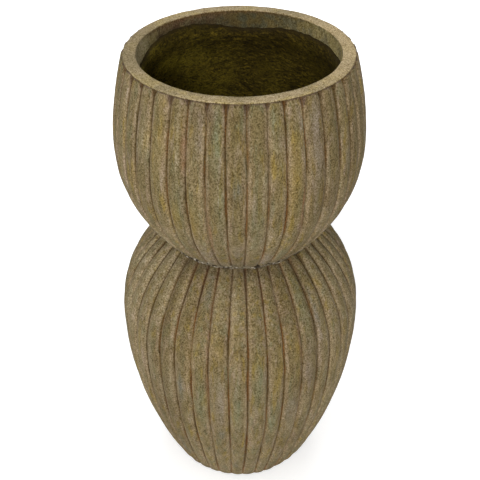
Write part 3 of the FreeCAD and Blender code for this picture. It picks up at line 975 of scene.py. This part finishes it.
def lining_material():
    """Resin-bound fibre, stained dark olive, with strands lying over each other and dark pits between."""
    look = Look("fibre_lining")
    # Painted light: the fibre turns pale ochre deeper down and at the left
    colour = look.mix(tint("fibre"), tint("fibre_painted_light"), look.mask("painted_light"))
    blots = look.between(look.noise(35 * MM, 4, 0.6), 0.38, 0.62, 0.0, 0.5)
    colour = look.paint(colour, "fibre_blot", blots)
    strands, cracks = 0.0, 0.0
    for turn, shift in ((0.35, (0, 2, 0)), (-0.5, (4, 0, 2)), (0.05, (1, 7, 3))):
        fibre = look.noise(3.2 * MM, 3, 0.6, (0.22, 0.35, 1), shift, turn, 0.6)
        patch = look.between(look.noise(40 * MM, 2, 0.5, shift=shift), 0.42, 0.54)
        strands = look.math("MAXIMUM", look.times(look.between(fibre, 0.53, 0.62), patch), strands)
        cracks = look.math("MAXIMUM", look.times(look.between(fibre, 0.36, 0.43, 1.0, 0.0), patch), cracks)
    colour = look.paint(colour, "fibre_strand", look.times(strands, 0.4))
    pits = look.between(look.noise(3.5 * MM, 3, 0.7, (0.6, 0.7, 1), (9, 9, 1)), 0.37, 0.47, 1.0, 0.0)
    colour = look.paint(colour, "fibre_pit", look.times(look.math("MAXIMUM", pits, cracks), 0.75))
    speck = look.noise(2.2 * MM, 2, 0.7, (0.8, 0.8, 1), (3, 1, 6))
    colour = look.shaded(colour, look.between(speck, 0.34, 0.66, 0.62, 1.4))
    colour = look.paint(colour, "fibre_edge", look.times(look.mask("edge"), 0.9))
    coarse = look.bump(look.noise(12 * MM, 4, 0.6), 3 * MM)
    normal = look.bump(strands, 1 * MM, under=coarse)
    return look.finish(colour, look.between(look.noise(20 * MM), 0.3, 0.7, 0.7, 0.9), normal, 0.1)


def mortar_material():
    """Crumbled pointing mortar, dark with dirt, with pale broken faces."""
    look = Look("mortar")
    colour = look.mix(tint("mortar"), tint("mortar_dirt"), look.between(look.noise(6 * MM, 3), 0.42, 0.56))
    flecks = look.noise(3.4 * MM, 2, 0.5, (0.45, 0.45, 1.6), (3, 3, 3))
    colour = look.paint(colour, "mortar_fleck", look.between(flecks, 0.57, 0.64))
    return look.finish(colour, 0.93, look.bump(look.noise(2 * MM, 3), 1 * MM))


def slab_material():
    """The cast floor inside, stained by water."""
    look = Look("cast_slab")
    colour = look.mix(tint("slab"), tint("slab_wet"), look.between(look.noise(40 * MM, 4), 0.4, 0.6))
    normal = look.bump(look.noise(3 * MM, 4, 0.65), 1 * MM)
    return look.finish(colour, look.between(look.noise(30 * MM), 0.3, 0.7, 0.75, 0.95), normal)


def rubber_material():
    """Dull black rubber with a little dust."""
    look = Look("plug_rubber")
    colour = look.mix(tint("rubber"), tint("rubber_dust"), look.between(look.noise(6 * MM, 4), 0.5, 0.7))
    normal = look.bump(look.noise(1.5 * MM, 2), 0.1 * MM)
    return look.finish(colour, look.between(look.noise(8 * MM), 0.3, 0.7, 0.5, 0.75), normal)


def wear(piece, material):
    piece.data.materials.clear()
    piece.data.materials.append(material)


# The floor, whose glow makes it white to the camera. It grows with the distance, so that the shadow stays
FLOOR_REACH = 30.0
FLOOR_COLOUR = (0.86, 0.86, 0.86, 1)
GLOW = {"From Min": 0.5, "From Max": 2.2, "To Min": 0.4, "To Max": 1.0}  # distances, then strengths there

# The light: the world's, then each lamp's name, place, size and power. All lamps aim at the urn's middle
WORLD_COLOUR, WORLD_STRENGTH = (1.0, 0.99, 0.97, 1), 0.12
LAMPS = [
    ("key", (-0.7, -4.7, 3.0), 1.5, 234),
    ("top", (-0.3, -0.5, 5.5), 3.8, 116),
    ("left", (-4.0, 0.6, 1.4), 2.5, 20),
    ("right", (4.0, 0.6, 1.0), 2.5, 12),
    ("back", (0.6, 4.5, 2.4), 2.5, 60),
]


def build_world():
    """White to the camera and in reflections, and a weak light to everything else."""
    world = bpy.data.worlds.new("studio")
    bpy.context.scene.world = world
    nodes = Nodes(world)
    light = nodes.add("Background", {"Color": WORLD_COLOUR, "Strength": WORLD_STRENGTH})
    white = nodes.add("Background", {"Color": (1, 1, 1, 1)})
    mixed = nodes.add("MixShader", {0: nodes.seen_directly(), 1: light.outputs[0], 2: white.outputs[0]})
    nodes.add("OutputWorld", {"Surface": mixed.outputs[0]})


def floor_material():
    """Plain and pale, with a glow that only the camera sees."""
    look = Look("floor")
    plain = look.add("BsdfDiffuse", {"Color": FLOOR_COLOUR})
    way = look.add("VectorMath", {0: look.place}, operation="LENGTH")
    whiter = look.add("MapRange", {"Value": way.outputs["Value"], **GLOW})
    glow = look.add("Emission", {"Strength": look.times(look.seen_directly(), whiter.outputs["Result"])})
    both = look.add("AddShader", {0: plain.outputs[0], 1: glow.outputs[0]})
    look.add("OutputMaterial", {"Surface": both.outputs[0]})
    return look.material


def build_floor():
    mesh = bpy.data.meshes.new("floor")
    corners = [(x * FLOOR_REACH, y * FLOOR_REACH, 0) for x, y in ((-1, -1), (1, -1), (1, 1), (-1, 1))]
    mesh.from_pydata(corners, [], [(0, 1, 2, 3)])
    mesh.materials.append(floor_material())
    floor = bpy.data.objects.new("floor", mesh)
    bpy.context.scene.collection.objects.link(floor)


def build_lamps():
    aim = Vector((0, 0, RIM[0] / 2))
    for name, place, size, power in LAMPS:
        lamp = bpy.data.lights.new(name, "AREA")
        lamp.shape = "DISK"
        lamp.size = size
        lamp.energy = power
        holder = bpy.data.objects.new(name, lamp)
        holder.location = place
        holder.rotation_euler = (aim - Vector(place)).to_track_quat("-Z", "Y").to_euler()
        bpy.context.scene.collection.objects.link(holder)


def build_camera():
    """The photograph's view: above and in front, 1.09 m from the urn's middle."""
    height = RIM[0]
    pitch = math.radians(38.1)
    roll = math.radians(-0.24)
    distance = 1.554 * height
    aim_height = 0.577 * height
    focal_px, frame_px, sensor = 747, 480, 36
    axis_px, drop_px = 240, 0.3
    camera = bpy.data.cameras.new("camera")
    camera.sensor_width = sensor
    camera.lens = focal_px / frame_px * sensor
    camera.shift_x = (frame_px / 2 - axis_px) / frame_px
    camera.shift_y = drop_px / frame_px
    holder = bpy.data.objects.new("camera", camera)
    holder.location = (0, -distance * math.cos(pitch), aim_height + distance * math.sin(pitch))
    holder.rotation_mode = "ZYX"
    holder.rotation_euler = (math.pi / 2 - pitch, 0, roll)
    bpy.context.scene.collection.objects.link(holder)
    bpy.context.scene.camera = holder


def main():
    build_camera()
    stone = stone_material()
    fibre = lining_material()
    wear(build_bowl(), stone)
    wear(build_urn(), stone)
    low, waist, high = SLAB_TOP, SPIGOT_BOTTOM, LINING_TOP
    wear(lining_piece("bowl_lining", "bowl_fibre_lining", waist, high, 101, 360, ragged=True), fibre)
    wear(lining_piece("urn_lining", "urn_fibre_lining", low, waist, 121, 240), fibre)
    wear(build_strap(), fibre)
    wear(build_mortar(), mortar_material())
    wear(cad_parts["base_slab"], slab_material())
    wear(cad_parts["drain_plug"], rubber_material())
    build_floor()
    build_world()
    build_lamps()
    bpy.context.scene.view_settings.view_transform = "Standard"


main()
